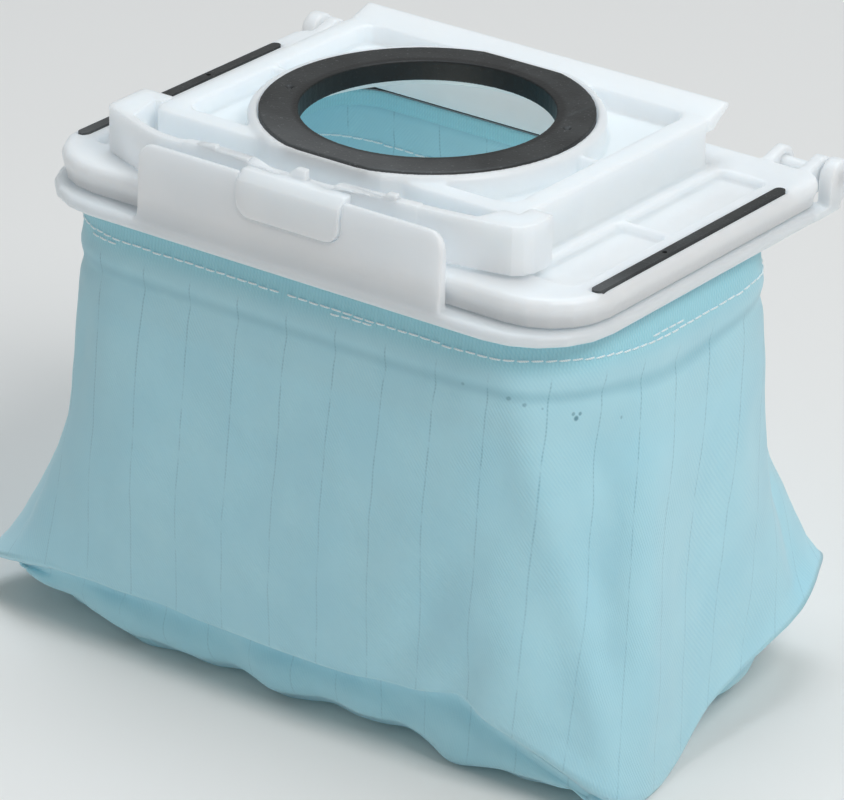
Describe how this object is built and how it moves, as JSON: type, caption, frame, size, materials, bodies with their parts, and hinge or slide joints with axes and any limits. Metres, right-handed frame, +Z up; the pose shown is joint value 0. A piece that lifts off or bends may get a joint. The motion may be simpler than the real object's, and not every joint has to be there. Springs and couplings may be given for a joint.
{
  "type": "dust bag",
  "caption": "Reusable cloth dust bag with a rigid mouth frame, a hinged lid with a round rubber-sealed inlet, and a thumb-released catch.",
  "frame": {"origin": "middle of the bounding box in plan, on the surface that the bag stands on", "axes": "+X to the right along the latch side, +Y from the latch side to the hinge side, +Z up out of the inlet"},
  "size_m": [0.182, 0.1174, 0.1299],
  "materials": {
    "natural_plastic": "translucent natural, satin",
    "black_rubber": "matte moulded",
    "bag_cloth": "fine twill with darker pinstripes",
    "sewing_thread": "white twisted thread"
  },
  "bodies": {
    "bag_frame": {"lower_frame": "natural_plastic", "frame_gasket": "black_rubber", "bag_wall": "bag_cloth", "bag_bottom": "bag_cloth", "hem_stiffener": "natural_plastic", "bag_hem": "bag_cloth", "hem_thread": "sewing_thread"},
    "lid": {"lid": "natural_plastic", "inlet_seal": "black_rubber", "seal_strip_left": "black_rubber", "seal_strip_right": "black_rubber", "hinge_pin_left": "natural_plastic", "hinge_pin_right": "natural_plastic", "release_bow_left": "natural_plastic", "release_bow_right": "natural_plastic"},
    "release_tab": {"release_tab": "natural_plastic"}
  },
  "joints": [
    {"name": "lid_hinge", "type": "hinge", "parent": "bag_frame", "child": "lid", "pos_m": [0, 0.0543, 0.1138], "axis": [-1, 0, 0], "range_deg": [0, 100]},
    {"name": "release_slide", "type": "slide", "parent": "lid", "child": "release_tab", "axis": [0, 1, 0], "range_m": [0, 0.003], "stiffness_N_per_m": 600}
  ]
}
